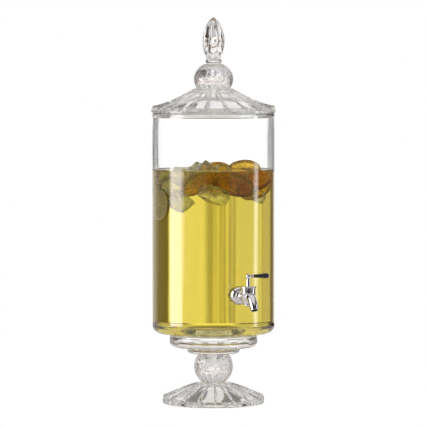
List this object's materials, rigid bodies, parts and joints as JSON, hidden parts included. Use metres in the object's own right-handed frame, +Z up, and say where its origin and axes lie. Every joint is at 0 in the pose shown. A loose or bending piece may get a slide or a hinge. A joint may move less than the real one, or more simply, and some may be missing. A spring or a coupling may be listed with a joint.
{
  "type": "beverage dispenser",
  "caption": "Tall footed glass drinks dispenser: cylindrical jar on a pedestal stand, fluted lid with a bud finial, and a plug-cock spigot with a side lever.",
  "frame": {"origin": "centre of the stand's resting face on the table, on the jar's axis", "axes": "+Z up along the jar's axis, -Y towards the spigot, +X towards the closed lever"},
  "size_m": [0.2098, 0.2837, 0.6513],
  "materials": {
    "clear_glass": "clear pressed and blown glass, polished",
    "stippled_glass": "clear glass with a hammered, stippled face",
    "chrome": "polished",
    "silicone": "translucent, satin",
    "black_grip": "gloss black"
  },
  "bodies": {
    "stand": {"stand_foot": "clear_glass", "stand_ball": "stippled_glass", "stand_collar": "clear_glass", "stand_plate": "clear_glass", "jar_cushion": "silicone"},
    "jar": {"jar": "clear_glass", "spigot_outer_washer": "silicone", "spigot_inner_washer": "silicone", "spigot_nut": "chrome", "spigot_rose": "chrome", "spigot_body": "chrome", "spigot_bonnet": "chrome"},
    "lever": {"valve_plug": "chrome", "stem_o_ring": "silicone", "plug_washer": "chrome", "plug_screw": "chrome", "lever_hub": "chrome", "lever_rod": "chrome", "lever_ferrule": "chrome", "lever_grip": "black_grip", "lever_end_cap": "chrome"},
    "lid": {"lid_cover": "clear_glass", "lid_knob": "stippled_glass", "finial_collar": "clear_glass", "finial_bud": "clear_glass"}
  },
  "joints": [
    {"name": "jar_lift", "type": "slide", "parent": "stand", "child": "jar", "axis": [0, 0, 1], "range_m": [0, 0.06]},
    {"name": "lid_lift", "type": "slide", "parent": "jar", "child": "lid", "axis": [0, 0, 1], "range_m": [0, 0.1]},
    {"name": "lever_turn", "type": "hinge", "parent": "jar", "child": "lever", "pos_m": [0, -0.147, 0.2], "axis": [0, 0, -1], "range_deg": [0, 90]}
  ]
}
